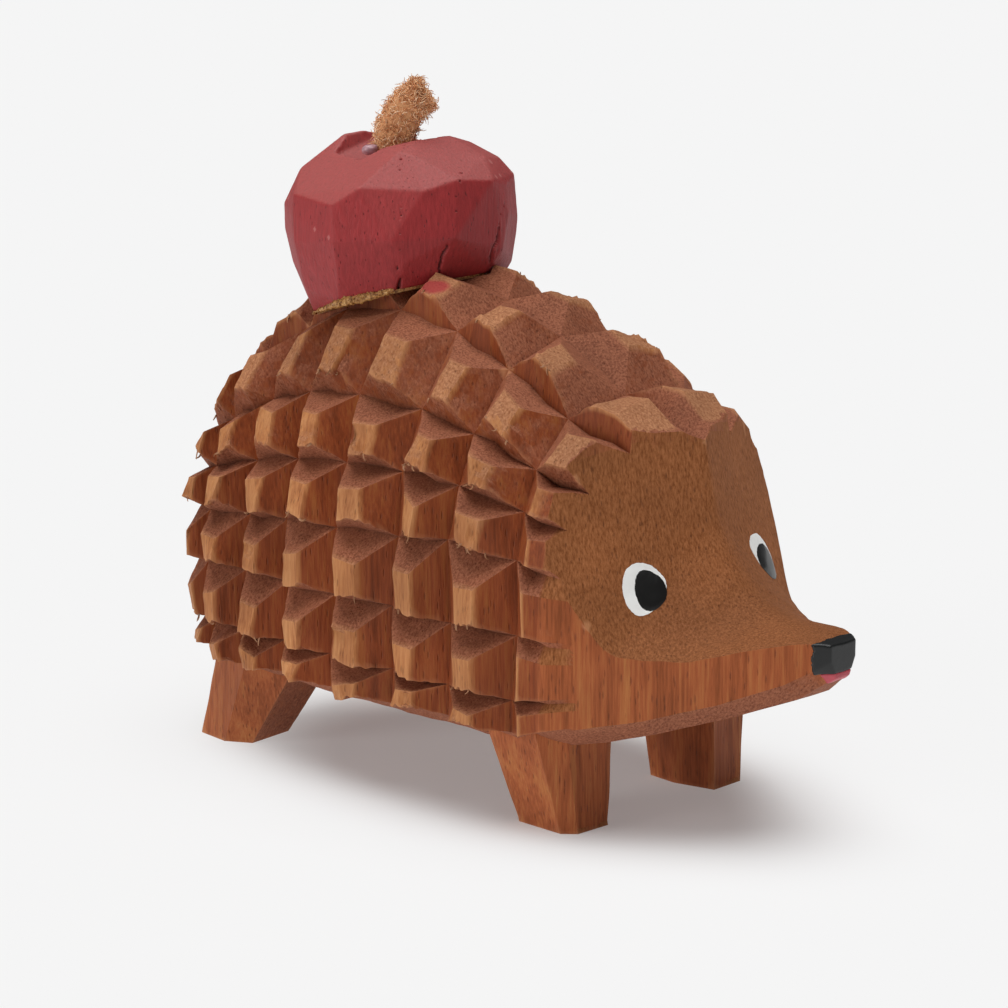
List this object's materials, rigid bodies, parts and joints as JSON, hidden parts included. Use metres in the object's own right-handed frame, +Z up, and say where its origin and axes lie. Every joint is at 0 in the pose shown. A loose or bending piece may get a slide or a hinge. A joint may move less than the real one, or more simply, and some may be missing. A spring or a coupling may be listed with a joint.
{
  "type": "hedgehog figurine",
  "caption": "Carved wooden hedgehog ornament standing on its legs, with knife-cut spines, painted eyes and nose, and a red apple with a suede stem on its back.",
  "frame": {"origin": "on the floor under the middle of the carving's length and width", "axes": "+X towards the nose, +Y the hedgehog's left, +Z up"},
  "size_m": [0.1103, 0.0532, 0.0971],
  "materials": {
    "stained_wood": "knife-cut, stained reddish brown, unvarnished",
    "red_painted_wood": "thin matt-satin red paint over knife facets",
    "white_paint": "matt white paint",
    "black_paint": "satin black paint",
    "red_paint": "thin red paint",
    "dowel_wood": "plain birch",
    "suede": "tan suede with loose fibres",
    "wood_glue": "dried wood glue with sawdust in it",
    "clear_glue": "milky clear glue"
  },
  "bodies": {
    "root": {"carved_body": "stained_wood", "eye_white_right": "white_paint", "eye_white_left": "white_paint", "pupil_right": "black_paint", "pupil_left": "black_paint", "nose_paint": "black_paint", "mouth_paint": "red_paint", "apple": "red_painted_wood", "apple_dowel": "dowel_wood", "apple_stem": "suede", "apple_glue": "wood_glue", "stem_glue": "clear_glue"}
  },
  "joints": []
}
